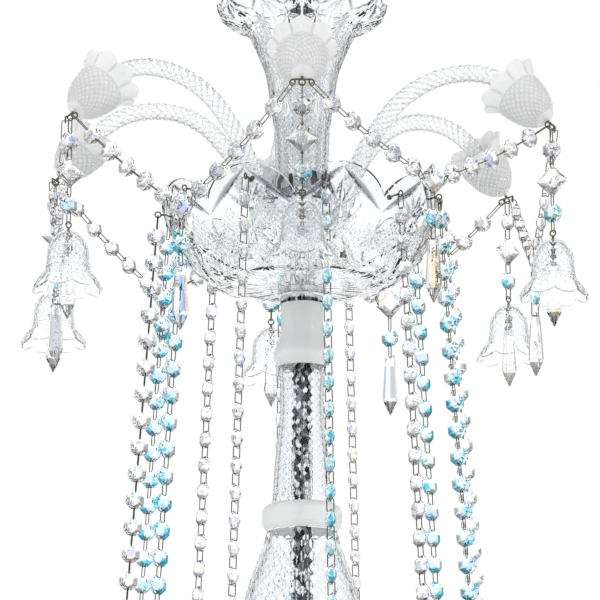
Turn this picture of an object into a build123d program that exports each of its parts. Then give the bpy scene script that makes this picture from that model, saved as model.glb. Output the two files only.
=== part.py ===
from build123d import *
import math
import os

# Crystal hanging ornament: a cut-glass bowl and a baluster stem, six rope-twist arms that end in frosted
# tulips, a bell pendant under each tulip, bead garlands with icicle drops between the tulips, and twelve long
# bead chains under the bowl's rim. Millimetres, +Z up, the front is -Y, and the origin is the centre of the
# hanging eye's bore.

# ---- driving dimensions ----
ARM_AZIMUTHS = (0, 64, 127, 187, 250, 304)  # degrees from the front, towards +X
HOOK_R, HOOK_Z = 271.0, -240.0  # centre of the ring that each pendant hangs from

# stem and hanging eye
EYE_BORE_R, EYE_OUTER_R, EYE_THICK = 8.0, 14.0, 8.0
STEM_R, STEM_BORE_R = 9.5, 7.0
STEM_TOP_Z, STEM_END_Z = -20.0, -808.0

# glass levels
TRUMPET_RIM_Z, TRUMPET_FOOT_Z, TRUMPET_WALL = -78.0, -272.0, 4.0
BOWL_TIP_Z, BOWL_NOTCH_Z, BOWL_BASE_Z, BOWL_WALL = -279.0, -313.0, -375.5, 5.0
BOWL_RIM_R, BOWL_LOBES, BOWL_TURN = 141.0, 9, 16.5
COLLAR_END_Z, NECK_END_Z, RING_TOP_Z, RING_END_Z, VASE_END_Z = -391.0, -447.0, -593.5, -619.5, -800.0
FINIAL_LENGTH = 44.0

# arms and tulips
SOCKET_R, SOCKET_Z = 44.0, -312.0  # where an arm's centre line starts
ARM_R = 8.5
ARM_CREST_Z, ARM_END = -173.0, 30.0  # height of the arch, and how far it stops from the tulip's tip, outward
TULIP_TIP_R, TULIP_TIP_Z, TULIP_LENGTH, TULIP_LEAN = 268.0, -234.1, 60.0, 45.0
SIDE_RING = 9.0  # from a hook's middle ring to the rings that carry the garlands
RING_R, RING_WIRE, SEAT = 2.9, 0.7, 1.0  # wire rings, and how far from a ring's centre a link's rung sits

# beads and links
OCTAGON_FLATS, OCTAGON_THICK = 18.0, 9.0
LOZENGE_SIDE, LOZENGE_THICK = 23.0, 10.0
HOLE_INSET, HOLE_R = 2.2, 1.1
WIRE, LINK_WIDTH = 1.0, 6.6
ICICLE_LENGTH, ICICLE_TOP, ICICLE_WIDE, ICICLE_POINT = 65.0, 10.5, 15.5, 17.0

# pendant, measured down from its hook
CLEAR_DROP, LOZENGE_DROP, BLUE_DROP, BELL_DROP = 22.0, 53.5, 86.0, 105.0
EYE_RISE, BELL_HEIGHT, BELL_WALL = 6.0, 67.0, 2.4  # the bell's eye is above its crown
CLAPPER_DROP, CLAPPER_HOLE = 15.0, 25.5  # the inner ring and the icicle's hole, below the crown

# garlands
GARLAND_FALLS = (74, 98, 98, 98, 98, 104)  # how far each middle bead is below the hooks
GARLAND_SAG, GARLAND_BEADS = 6.0, 5  # beads between a hook and the middle bead
DROP_BLUE, DROP_ICICLE = 37.0, 58.5  # blue bead and icicle hole below a garland's middle bead

# long chains
CHAIN_AZIMUTHS = (9, 41, 68, 98, 128, 161, 188, 218, 248, 281, 308, 338)
CHAIN_R, CHAIN_Z, CHAIN_BEADS, CHAIN_PITCH, CHAIN_LEAN = 146.5, -295.0, 17, 26.7, 4.0
FIRST_BEAD = 22.0


# ---- helpers ----
def outward(azimuth):
    """Unit vector away from the stem at an azimuth; 0 is the front, -Y, and 90 is +X."""
    a = math.radians(azimuth)
    return Vector(math.sin(a), -math.cos(a), 0)


def turned(azimuth):
    """Location for a piece drawn in the XZ plane, X outward, that stands at an azimuth."""
    return Rot(0, 0, azimuth - 90)


def frame_at(point, along, facing):
    """Location at a point, local +Z along one direction and local Y as near another as it can be."""
    along = along.normalized()
    return Plane(origin=point, x_dir=facing.cross(along), z_dir=along).location


def spun(points):
    """Solid of revolution about Z, straight between (radius, height) points."""
    return revolve(make_face(Polyline(*[(r, 0, z) for r, z in points], close=True)), Axis.Z)


def shell(outer, wall):
    """Revolved glass wall: a smooth outer outline of (radius, height) points, and the same set in."""
    points = [Vector(r, 0, z) for r, z in outer]
    inner = []
    for i, point in enumerate(points):
        along = (points[min(i + 1, len(points) - 1)] - points[max(i - 1, 0)]).normalized()
        inner.append(point + Vector(along.Z, 0, -along.X) * wall)
    outline = Curve() + [
        Spline(*points),
        Line(points[-1], inner[-1]),
        Spline(*reversed(inner)),
        Line(inner[0], points[0]),
    ]
    return revolve(make_face(outline), Axis.Z)


def from_top(radius, height):
    """Cylinder that hangs down from the XY plane."""
    return Cylinder(radius, height, align=(Align.CENTER, Align.CENTER, Align.MAX))


def lobed(body, radius, tip_z, notch_z, lobes, depth, turn=0.0):
    """Cuts a rim into round lobes. The first lobe's middle is at the azimuth that turn gives."""
    half = radius * math.tan(math.pi / lobes)
    rise = tip_z - notch_z
    arc_r = (half**2 + rise**2) / (2 * rise)
    middle = math.asin(min(1.0, half / arc_r)) / 2
    side_x, side_z = half - arc_r * math.sin(middle), tip_z - arc_r * (1 - math.cos(middle))
    above = tip_z + 2
    outline = Curve() + [
        ThreePointArc((0, 0, notch_z), (side_x, 0, side_z), (half, 0, tip_z)),
        Polyline((half, 0, tip_z), (half, 0, above), (-half, 0, above), (-half, 0, tip_z)),
        ThreePointArc((-half, 0, tip_z), (-side_x, 0, side_z), (0, 0, notch_z)),
    ]
    cutter = Pos(0, -radius - depth, 0) * extrude(make_face(outline), 2 * depth, dir=(0, 1, 0))
    step = 360 / lobes
    return body - [Rot(0, 0, turn + step * (i + 0.5)) * cutter for i in range(lobes)]


def save(name, *pieces):
    """Writes one node and keeps each of its solids apart."""
    solids = [solid for piece in pieces for solid in piece.solids()]
    export_step(Compound(children=solids) if len(solids) > 1 else solids[0], f"parts/{name}.step")


# ---- cut crystals and wire ----
def crystal(sides, flats, table, thick, girdle=1.6):
    """Flat-faced bead in the XZ plane, cut the same front and back, with its corners up and down if 4-sided."""
    turn = 0 if sides == 4 else 22.5
    outline = RegularPolygon(flats / 2, sides, major_radius=False, rotation=turn)
    small = RegularPolygon(table / 2, sides, major_radius=False, rotation=turn)
    crown = loft([Pos(0, 0, girdle / 2) * outline, Pos(0, 0, thick / 2) * small], ruled=True)
    body = extrude(outline, girdle / 2, both=True) + crown + mirror(crown, Plane.XY)
    return Rot(90, 0, 0) * body


def drilled(body, *heights):
    """Drills eight-sided wire holes along Y at heights above the middle of a bead."""
    hole = Rot(90, 0, 0) * extrude(RegularPolygon(HOLE_R, 8), 20, both=True)
    return body - [Pos(0, 0, height) * hole for height in heights]


def wire_link(length):
    """Closed rectangular link, from the middle of its top rung at Z 0 down to its lower rung, in the YZ plane."""
    outer = Box(WIRE, LINK_WIDTH + WIRE, length + WIRE)
    return Pos(0, 0, -length / 2) * (outer - Box(2 * WIRE, LINK_WIDTH - WIRE, length - WIRE))


OCTAGON_REACH = OCTAGON_FLATS / 2 - HOLE_INSET
LOZENGE_REACH = LOZENGE_SIDE / math.sqrt(2) - 4
octagon = drilled(crystal(8, OCTAGON_FLATS, 6, OCTAGON_THICK), OCTAGON_REACH, -OCTAGON_REACH)
lozenge = crystal(4, LOZENGE_SIDE, 8, LOZENGE_THICK)
for quarter in (0, 90):  # a hole at each corner
    lozenge = Rot(0, quarter, 0) * drilled(lozenge, LOZENGE_REACH, -LOZENGE_REACH)


def icicle():
    """Eight-sided spear that hangs from a hole at Z 0, widens downwards and ends in a point."""
    top, shaft = 3.5, ICICLE_LENGTH - ICICLE_POINT
    levels = [(0.6 * ICICLE_TOP, top), (ICICLE_TOP, top - 4), (ICICLE_WIDE, top - shaft), (0.8, top - ICICLE_LENGTH)]
    rings = [
        Pos(0, 0, z) * RegularPolygon(flats / 2, 8, major_radius=False, rotation=22.5) for flats, z in levels
    ]
    spear = loft(rings[0:2], ruled=True) + loft(rings[1:3], ruled=True) + loft(rings[2:4], ruled=True)
    flat = Box(20, 20, 7)  # the top is ground flat on two sides, so that a link can straddle it
    return drilled(spear - Pos(0, 12.5, top - 2) * flat - Pos(0, -12.5, top - 2) * flat, 0)


def ring(major=RING_R):
    """Wire ring in the XZ plane."""
    return Rot(90, 0, 0) * Torus(major, RING_WIRE)


def string(points, beads, facing):
    """Beads along a line of points, joined by links. beads holds (solid, reach), or None where a link just ends.

    A bead's reach is the distance from its middle to its holes. Every bead faces as near as it can to facing.
    """
    solids, tops, ends = [], [], []
    for i, (point, bead) in enumerate(zip(points, beads)):
        along = (points[max(i - 1, 0)] - points[min(i + 1, len(points) - 1)]).normalized()
        reach = bead[1] if bead else 0.0
        tops.append(point + along * reach)
        ends.append(point - along * reach)
        if bead:
            solids.append(frame_at(point, along, facing) * bead[0])
    for end, top in zip(ends[:-1], tops[1:]):
        solids.append(frame_at(end, end - top, facing) * wire_link((end - top).length))
    return solids


# ---- where things hang ----
def hook_point(i):
    """Centre of the middle ring under tulip i."""
    return outward(ARM_AZIMUTHS[i]) * HOOK_R + Vector(0, 0, HOOK_Z)


def pendant_facing(i):
    """The beads of a pendant face the room: outward at the front and back, across the arm at the sides."""
    azimuth = ARM_AZIMUTHS[i]
    return outward(azimuth if abs(outward(azimuth).Y) > 0.9 else azimuth + 90)


def garland_ends(i):
    """Centres of the two side rings that carry garland i, between tulips i and i + 1."""
    j = (i + 1) % len(ARM_AZIMUTHS)
    return [
        hook_point(k) + outward(ARM_AZIMUTHS[k] + side) * SIDE_RING for k, side in ((i, 90), (j, -90))
    ]


def garland_points(i):
    """Middle of every bead of a garland, with its two ends, where the end links' rungs sit."""
    seat = Vector(0, 0, -SEAT)
    start, end = [point + seat for point in garland_ends(i)]
    middle = (start + end) * 0.5 - Vector(0, 0, GARLAND_FALLS[i])
    steps = GARLAND_BEADS + 1
    halves = []
    for hung in (start, end):
        shares = [k / steps for k in range(steps)]
        halves.append([hung + (middle - hung) * t - Vector(0, 0, 4 * GARLAND_SAG * t * (1 - t)) for t in shares])
    return halves[0] + [middle] + halves[1][::-1]


def garland_facing(i):
    start, end = garland_ends(i)
    return Vector(0, 0, 1).cross(end - start).normalized()


def hook_level(azimuth):
    """Height of a chain's hole in the bowl: lower beside a notch of the rim."""
    step = 360 / BOWL_LOBES
    off = abs((azimuth - BOWL_TURN + step / 2) % step - step / 2)
    return CHAIN_Z + 1 if off < 0.35 * step else CHAIN_Z - 10


def chain_start(azimuth):
    return outward(azimuth) * CHAIN_R + Vector(0, 0, hook_level(azimuth) - SEAT)


# ---- stem, hub and glass body ----
def hanging_eye():
    """Flat eye on a boss, with a shank that goes down into the stem tube."""
    half, boss_z = EYE_THICK / 2, -10.5
    plate = spun([(EYE_BORE_R, -half), (EYE_OUTER_R, -half), (EYE_OUTER_R, half), (EYE_BORE_R, half)])
    boss = Pos(0, 0, boss_z) * from_top(STEM_R, boss_z - STEM_TOP_Z)
    shank = Pos(0, 0, STEM_TOP_Z) * from_top(STEM_BORE_R, 14)
    return Rot(90, 0, 0) * plate + boss + shank


def stem_tube():
    tube = Pos(0, 0, STEM_TOP_Z) * from_top(STEM_R, STEM_TOP_Z - STEM_END_Z)
    return tube - Cylinder(STEM_BORE_R, 3000)


def stem_nuts():
    """Two hexagon nuts: one on the trumpet's cup and one on the arm hub's plate."""
    nut = extrude(RegularPolygon(14, 6), 6) - Cylinder(STEM_R, 30)
    return [Pos(0, 0, z) * nut for z in (TRUMPET_FOOT_Z, SOCKET_Z + 8)]


def trumpet_vase():
    body = shell([
        (87, TRUMPET_RIM_Z), (82, -91), (72, -96.5), (60, -102.5), (48, -122), (38, -148), (34, -169),
        (30, -195), (27.5, -231), (27, TRUMPET_FOOT_Z),
    ], TRUMPET_WALL)
    return lobed(body, 86, TRUMPET_RIM_Z + 0.5, TRUMPET_RIM_Z - 7, 12, 12)


def trumpet_cup():
    """Chrome cup around the trumpet's foot."""
    foot = TRUMPET_FOOT_Z
    return spun([
        (STEM_R, foot), (27.2, foot), (27.2, foot + 10), (30, foot + 10), (30, foot - 3), (22, foot - 14),
        (STEM_R, foot - 14),
    ])


def cut_bowl():
    base = BOWL_BASE_Z
    body = shell([
        (BOWL_RIM_R + 1, BOWL_TIP_Z), (140, -296), (134, -313.5), (128, -329), (120, -342.5), (108, -355),
        (95, -366), (78, -373.5), (45, base), (STEM_R, base),
    ], BOWL_WALL)
    body = lobed(body, BOWL_RIM_R - 1, BOWL_TIP_Z + 0.5, BOWL_NOTCH_Z, BOWL_LOBES, 14, BOWL_TURN)
    hole = Rot(0, 90, 0) * extrude(RegularPolygon(1.8, 8), 20, both=True)
    return body - [turned(a) * Pos(CHAIN_R - 10, 0, hook_level(a)) * hole for a in CHAIN_AZIMUTHS]


def arm_hub():
    """Chrome hub: a plate on the stem, a boss down to the bowl's floor, and a round cup for each arm."""
    plate = Pos(0, 0, SOCKET_Z + 8) * from_top(SOCKET_R, 6)
    boss = Pos(0, 0, SOCKET_Z + 4) * from_top(15, SOCKET_Z + 4 - BOWL_BASE_Z - BOWL_WALL - 1)
    cup = Sphere(14) & Box(40, 40, 22)
    hub = plate + boss + [turned(a) * Pos(SOCKET_R, 0, SOCKET_Z) * cup for a in ARM_AZIMUTHS]
    hub -= Cylinder(STEM_R, 3000)
    return hub - [turned(a) * arm_rod(ARM_R + 0.05) for a in ARM_AZIMUTHS]


def bowl_collar():
    """Chrome nut and washer that clamp the bowl from below."""
    base, end = BOWL_BASE_Z, COLLAR_END_Z
    return spun([(STEM_R, base), (24.5, base), (24.5, base - 7), (22, base - 8.5), (22, end), (STEM_R, end)])


def frosted_neck():
    return shell([
        (21, COLLAR_END_Z), (21, -408), (21.3, -421), (25, -433), (28, -441), (28, NECK_END_Z),
    ], 3.5)


def neck_vase():
    return shell([
        (25, NECK_END_Z), (23.5, -459), (22, -489), (23.5, -520), (26, -541), (29.5, RING_TOP_Z),
    ], 3.5)


def frosted_ring():
    return shell([(31, RING_TOP_Z), (38, -598), (39.8, -606), (38.5, -615), (33, RING_END_Z)], 4.0)


def vase_body():
    return shell([
        (34, RING_END_Z), (46, -655), (54, -677), (59, -707), (60, -735), (54, -763), (40, -786), (22, VASE_END_Z),
    ], 4.0)


def vase_cap():
    """Chrome cap that closes the vase and clamps the whole glass stack."""
    return spun([
        (STEM_R, VASE_END_Z), (23, VASE_END_Z), (23, VASE_END_Z - 4), (14, STEM_END_Z - 4), (0, STEM_END_Z - 4),
        (0, STEM_END_Z), (STEM_R, STEM_END_Z),
    ])


def finial():
    """Cut drop cemented under the cap."""
    levels = [(18, 0), (34, -16), (30, -22), (3, -FINIAL_LENGTH)]
    rings = [
        Pos(0, 0, STEM_END_Z - 4 + z) * RegularPolygon(flats / 2, 8, major_radius=False) for flats, z in levels
    ]
    return loft(rings, ruled=True)


# ---- arms and tulips ----
def arm_rod(radius):
    """Round rod along an arm's arched centre line, drawn outward along X."""
    end_r, end_z = TULIP_TIP_R - ARM_END, TULIP_TIP_Z + ARM_END
    path = FilletPolyline(
        (SOCKET_R, 0, SOCKET_Z), (72, 0, -234), (122, 0, ARM_CREST_Z),
        (end_r + end_z - ARM_CREST_Z, 0, ARM_CREST_Z), (end_r, 0, end_z),
        radius=[150, 100, 80],
    )
    return sweep(Plane(path @ 0, z_dir=path % 0) * Circle(radius), path=path)


def on_tulip(solid):
    """Moves a solid from Z, with the tulip's tip at the origin, to its place on the arm's end."""
    return Pos(TULIP_TIP_R, 0, TULIP_TIP_Z) * Rot(0, -TULIP_LEAN, 0) * solid


def tulip_cup():
    """Frosted cup around an arm's end: a hole for the hook's pin at its tip, and an open lobed mouth."""
    cup = shell([(34, TULIP_LENGTH), (28, 53), (24.5, 45), (25, 33), (23.5, 21), (18, 10), (10, 3.5), (3, 0.6)], 3.0)
    return on_tulip(lobed(cup, 33, TULIP_LENGTH + 0.5, TULIP_LENGTH - 7, 8, 12))


def tulip_hook(i):
    """Pin from the arm's end through the tulip's tip, and a bar with a ring for each string of beads."""
    azimuth = ARM_AZIMUTHS[i]
    pin_top = ARM_END * math.sqrt(2)
    pin = on_tulip(Pos(0, 0, -4.2) * Cylinder(1.3, pin_top + 4.2, align=(Align.CENTER, Align.CENTER, Align.MIN)))
    bar = Pos(HOOK_R, 0, HOOK_Z + RING_R) * Rot(90, 0, 0) * Cylinder(0.9, 2 * SIDE_RING + 1)
    up = Vector(0, 0, 1)
    rings = [frame_at(hook_point(i), up, pendant_facing(i)) * ring()]
    for k, end in ((i, 0), (i - 1, 1)):
        rings.append(frame_at(garland_ends(k)[end], up, garland_facing(k)) * ring())
    return turned(azimuth) * (pin + bar) + rings


def rim_hook(azimuth):
    """Pin through the bowl's rim, with a head inside and the ring for a chain outside."""
    level = hook_level(azimuth)
    reach = 12 if level > CHAIN_Z else 15  # the wall is further in beside a notch
    pin = Pos(-RING_R, 0, 0) * Rot(0, 90, 0) * from_top(1.0, reach)
    head = Pos(-RING_R - reach, 0, 0) * Rot(0, 90, 0) * Cylinder(2.6, 1.5)
    return turned(azimuth) * Pos(CHAIN_R, 0, level) * (pin + head + ring())


# ---- hanging pieces ----
def hanger(i):
    """String above a bell: a clear octagon, a lozenge and a blue octagon."""
    drops = (0, CLEAR_DROP, LOZENGE_DROP, BLUE_DROP, BELL_DROP)
    points = [hook_point(i) - Vector(0, 0, SEAT + drop) for drop in drops]
    bead = (octagon, OCTAGON_REACH)
    return string(points, [None, bead, (lozenge, LOZENGE_REACH), bead, None], pendant_facing(i))


def bell_crown(i):
    return hook_point(i) - Vector(0, 0, 2 * SEAT + BELL_DROP + EYE_RISE)


def bell(i):
    """Glass bell with an eight-lobed skirt, and the wire pin through its crown with a ring at each end."""
    glass = shell([
        (2.3, 0), (9, -2), (14, -6), (20, -16), (22.5, -37), (23, -41), (26, -50), (31, -56), (34.7, -BELL_HEIGHT),
    ], BELL_WALL)
    glass = mirror(lobed(mirror(glass, Plane.XY), 33, BELL_HEIGHT + 0.5, BELL_HEIGHT - 7, 8, 9), Plane.XY)
    stalk_top, stalk_end = EYE_RISE - RING_R, RING_R - CLAPPER_DROP
    pin = Pos(0, 0, stalk_top) * from_top(1.2, stalk_top - stalk_end)
    pin += Pos(0, 0, EYE_RISE) * ring() + Pos(0, 0, -CLAPPER_DROP) * ring()
    pin += Pos(0, 0, -BELL_WALL - 0.3) * from_top(4, 1.5)
    place = frame_at(bell_crown(i), Vector(0, 0, 1), pendant_facing(i))
    return [place * glass, place * pin]


def clapper_pivot(i):
    return bell_crown(i) - Vector(0, 0, CLAPPER_DROP + SEAT)


def bell_icicle(i):
    """The icicle inside a bell, on its link."""
    length = CLAPPER_HOLE - CLAPPER_DROP - SEAT
    place = frame_at(clapper_pivot(i), Vector(0, 0, 1), pendant_facing(i))
    return [place * wire_link(length), place * Pos(0, 0, -length) * icicle()]


def garland(i):
    """Beads from one tulip to the next, with a lozenge at the lowest point."""
    half = [(octagon, OCTAGON_REACH)] * GARLAND_BEADS
    return string(garland_points(i), [None, *half, (lozenge, LOZENGE_REACH), *half, None], garland_facing(i))


def drop_pivot(i):
    """Bottom hole of a garland's lozenge."""
    return garland_points(i)[GARLAND_BEADS + 1] - Vector(0, 0, LOZENGE_REACH)


def garland_drop(i):
    """Blue octagon and icicle that hang from a garland's lozenge."""
    top = drop_pivot(i)
    drops = (0, DROP_BLUE - LOZENGE_REACH, DROP_ICICLE - LOZENGE_REACH)
    points = [top - Vector(0, 0, drop) for drop in drops]
    return string(points, [None, (octagon, OCTAGON_REACH), (icicle(), 0)], garland_facing(i))


def bead_chain(azimuth):
    """Long chain from the bowl's rim, leaning outward, with an end ring that hooks to whatever is below."""
    start, lean = chain_start(azimuth), math.radians(CHAIN_LEAN)
    down = outward(azimuth) * math.sin(lean) - Vector(0, 0, math.cos(lean))
    steps = [0] + [FIRST_BEAD + CHAIN_PITCH * k for k in range(CHAIN_BEADS)]
    steps.append(steps[-1] + CHAIN_PITCH - OCTAGON_REACH)
    points = [start + down * step for step in steps]
    facing = outward(azimuth + 90)
    solids = string(points, [None, *[(octagon, OCTAGON_REACH)] * CHAIN_BEADS, None], facing)
    end_ring = frame_at(points[-1] + down * SEAT, -down, facing) * ring()
    return solids + [end_ring]


def main():
    os.makedirs("parts", exist_ok=True)
    save("hanging_eye", hanging_eye())
    save("stem_tube", stem_tube())
    save("stem_nuts", *stem_nuts())
    save("trumpet_vase", trumpet_vase())
    save("trumpet_cup", trumpet_cup())
    save("cut_bowl", cut_bowl())
    save("arm_hub", arm_hub())
    save("bowl_collar", bowl_collar())
    save("frosted_neck", frosted_neck())
    save("neck_vase", neck_vase())
    save("frosted_ring", frosted_ring())
    save("vase_body", vase_body())
    save("vase_cap", vase_cap())
    save("finial", finial())
    save("rope_arms", *[turned(azimuth) * arm_rod(ARM_R) for azimuth in ARM_AZIMUTHS])
    save("tulip_cups", *[turned(azimuth) * tulip_cup() for azimuth in ARM_AZIMUTHS])
    save("rim_hooks", *[rim_hook(azimuth) for azimuth in CHAIN_AZIMUTHS])
    save("tulip_hooks", *[tulip_hook(i) for i in range(len(ARM_AZIMUTHS))])
    for i in range(len(ARM_AZIMUTHS)):
        save(f"hanger_{i + 1}", *hanger(i))
        save(f"bell_{i + 1}", *bell(i))
        save(f"bell_icicle_{i + 1}", *bell_icicle(i))
        save(f"garland_{i + 1}", *garland(i))
        save(f"garland_drop_{i + 1}", *garland_drop(i))
    for i, azimuth in enumerate(CHAIN_AZIMUTHS):
        save(f"bead_chain_{i + 1}", *bead_chain(azimuth))


if __name__ == "__main__":
    main()
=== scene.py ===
"""Looks of a crystal hanging ornament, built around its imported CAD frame."""

import math

import bpy
import numpy as np
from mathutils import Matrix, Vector


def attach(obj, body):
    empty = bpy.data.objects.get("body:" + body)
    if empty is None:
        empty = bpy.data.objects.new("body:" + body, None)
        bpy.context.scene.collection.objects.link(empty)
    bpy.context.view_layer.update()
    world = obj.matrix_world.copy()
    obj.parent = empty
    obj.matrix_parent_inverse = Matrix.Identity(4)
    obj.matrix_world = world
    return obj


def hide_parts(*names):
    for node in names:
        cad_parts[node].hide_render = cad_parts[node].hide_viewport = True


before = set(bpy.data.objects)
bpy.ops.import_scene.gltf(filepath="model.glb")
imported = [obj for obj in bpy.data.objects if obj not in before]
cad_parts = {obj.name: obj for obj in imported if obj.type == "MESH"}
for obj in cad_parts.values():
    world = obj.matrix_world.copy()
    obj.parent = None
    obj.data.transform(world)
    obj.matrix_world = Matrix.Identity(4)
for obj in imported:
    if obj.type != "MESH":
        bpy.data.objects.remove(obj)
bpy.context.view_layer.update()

MM = 0.001  # every length below is in millimetres, and meshes are scaled once
TAU = 2 * math.pi
rng = np.random.default_rng(7)

# ---- layout, the same as the CAD frame's ----
ARM_AZIMUTHS = (0, 64, 127, 187, 250, 304)
HOOK_R, HOOK_Z = 271.0, -240.0
SIDE_RING, SEAT, RING_R, RING_WIRE = 9.0, 1.0, 2.9, 0.7
LINK_WIDTH, WIRE_R = 6.6, 0.5
OCTAGON_REACH, LOZENGE_REACH = 6.8, 12.26
PENDANT_DROPS = (0, 22, 53.5, 86, 105)
EYE_RISE, CLAPPER_DROP, CLAPPER_HOLE = 6.0, 15.0, 25.5
GARLAND_FALLS, GARLAND_SAG, GARLAND_BEADS = (74, 98, 98, 98, 98, 104), 6.0, 5
DROP_BLUE, DROP_ICICLE = 37.0, 58.5
CHAIN_AZIMUTHS = (9, 41, 68, 98, 128, 161, 188, 218, 248, 281, 308, 338)
BLUE_CHAINS = (9, 68, 128, 188, 248, 308)
CHAIN_R, CHAIN_Z, CHAIN_BEADS, CHAIN_PITCH, CHAIN_LEAN, FIRST_BEAD = 146.5, -295.0, 17, 26.7, 4.0, 22.0
LOBE_SHARE, DIP = 0.35, 10.0
BOWL_LOBES, BOWL_TURN = 9, 16.5
TRUMPET_LOBES, PETALS = 12, 8
ARM_SEAT_R, ARM_SEAT_Z, TULIP_R, TULIP_Z = 46.0, -290.0, 268.0, -234.1
FACETED, CUT, WIRED = 5, 12, 50  # crease angles, in degrees, of crystals, cut glass and wire
UP = np.array([0.0, 0.0, 1.0])

def outward(azimuth):
    """Unit vector away from the stem; azimuth 0 is the front, and 90 is +X."""
    a = math.radians(azimuth)
    return np.array([math.sin(a), -math.cos(a), 0.0])

def unit(v):
    return v / np.linalg.norm(v)

def frame_at(point, along, facing):
    """Matrix and place of a local frame: Z along one direction, Y as near another as it can be."""
    z = unit(np.asarray(along, float))
    x = unit(np.cross(facing, z))
    return np.column_stack([x, np.cross(z, x), z]), np.asarray(point, float)

def placed(part, place):
    """A part, as (points, triangles, facet values), moved to a frame."""
    points, triangles, values = part
    turn, origin = place
    return points @ turn.T + origin, triangles, values

def turned(azimuth):
    """Frame with X outward at an azimuth."""
    return np.column_stack([outward(azimuth), outward(azimuth + 90), UP]), np.zeros(3)

# ---- meshes ----
def joined(parts):
    points, triangles, values, start = [], [], [], 0
    for p, t, v in parts:
        points.append(p)
        triangles.append(t + start)
        values.append(v)
        start += len(p)
    return np.vstack(points), np.vstack(triangles), np.concatenate(values)

def facing_out(points, triangles):
    """Triangles turned so that a closed mesh has its normals outside."""
    a, b, c = (points[triangles[:, k]] for k in range(3))
    volume = np.einsum("ij,ij->i", a, np.cross(b, c)).sum()
    return triangles if volume > 0 else triangles[:, ::-1]

def piece(name, body, parts, material, nodes=(), crease=20.0):
    """Blender object from parts; edges sharper than crease, in degrees, stay sharp."""
    points, triangles, values = joined(parts)
    mesh = bpy.data.meshes.new(name)
    mesh.vertices.add(len(points))
    mesh.vertices.foreach_set("co", (points * MM).astype(np.float32).ravel())
    mesh.loops.add(3 * len(triangles))
    mesh.loops.foreach_set("vertex_index", triangles.astype(np.int32).ravel())
    mesh.polygons.add(len(triangles))
    mesh.polygons.foreach_set("loop_start", np.arange(0, 3 * len(triangles), 3, dtype=np.int32))
    mesh.update(calc_edges=True)
    mesh.validate()
    mesh.polygons.foreach_set("use_smooth", np.ones(len(triangles), bool))
    mesh.set_sharp_from_angle(angle=math.radians(crease))
    mesh.attributes.new("facet", "FLOAT", "FACE").data.foreach_set("value", values.astype(np.float32))
    mesh.materials.append(material)
    obj = bpy.data.objects.new(name, mesh)
    bpy.context.scene.collection.objects.link(obj)
    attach(obj, body)
    if nodes:
        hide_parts(*nodes)
    return obj

def grid_faces(rows, cols, flips=None, wrap_rows=True):
    """Two triangles for every cell of a grid that closes round its columns, and round its rows too."""
    i, j = np.meshgrid(np.arange(rows if wrap_rows else rows - 1), np.arange(cols), indexing="ij")
    down, right = (i + 1) % rows, (j + 1) % cols
    a, b, c, d = i * cols + j, i * cols + right, down * cols + right, down * cols + j
    flip = np.zeros(a.shape, bool)
    if flips is not None:
        flip[: len(flips)] = flips
    first = np.where(flip[..., None], np.stack([a, b, d], -1), np.stack([a, b, c], -1))
    second = np.where(flip[..., None], np.stack([b, c, d], -1), np.stack([a, c, d], -1))
    return np.concatenate([first.reshape(-1, 3), second.reshape(-1, 3)])

class Profile:
    """Natural cubic spline through (radius, height) points, read by its length."""

    def __init__(self, points):
        p = np.array(points, float)
        t = np.concatenate([[0], np.cumsum(np.linalg.norm(np.diff(p, axis=0), axis=1))])
        h, n = np.diff(t), len(p)
        system, right = np.eye(n), np.zeros((n, 2))
        for k in range(1, n - 1):
            system[k, k - 1 : k + 2] = h[k - 1], 2 * (h[k - 1] + h[k]), h[k]
            right[k] = 6 * ((p[k + 1] - p[k]) / h[k] - (p[k] - p[k - 1]) / h[k - 1])
        m = np.linalg.solve(system, right)
        u = np.linspace(0, t[-1], 1200)
        k = np.clip(np.searchsorted(t, u, side="right") - 1, 0, n - 2)
        before, after, hk = (t[k + 1] - u)[:, None], (u - t[k])[:, None], h[k][:, None]
        line = (m[k] * before**3 + m[k + 1] * after**3) / (6 * hk)
        line += (p[k] / hk - m[k] * hk / 6) * before + (p[k + 1] / hk - m[k + 1] * hk / 6) * after
        self.r, self.z = line.T
        self.s = np.concatenate([[0], np.cumsum(np.linalg.norm(np.diff(line, axis=0), axis=1))])
        self.length = self.s[-1]
        way = np.gradient(line, axis=0)
        way /= np.linalg.norm(way, axis=1)[:, None]
        side = 1 if self.z[0] > self.z[-1] else -1
        self.out_r, self.out_z = -way[:, 1] * side, way[:, 0] * side

    def on(self, s):
        """Radius and height at a length along the profile."""
        return np.interp(s, self.s, self.r), np.interp(s, self.s, self.z)

    def at(self, s, sunk):
        """Radius and height at a length along the profile, sunk into the wall by some depth."""
        r, z, out_r, out_z = (np.interp(s, self.s, v) for v in (self.r, self.z, self.out_r, self.out_z))
        size = np.hypot(out_r, out_z)
        return np.maximum(r - out_r / size * sunk, 0.4), z - out_z / size * sunk

def scallops(radius, rise, lobes, turn=0.0):
    """How far a lobed rim lies below its tips, at an azimuth in radians."""
    half = radius * math.tan(math.pi / lobes)
    arc = (half**2 + rise**2) / (2 * rise)

    def below(theta):
        step = TAU / lobes
        off = np.abs((theta - math.radians(turn) + step / 2) % step - step / 2)
        x = np.minimum(off * radius, half)
        return arc - np.sqrt(np.maximum(arc**2 - x**2, 0))

    return below

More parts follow.
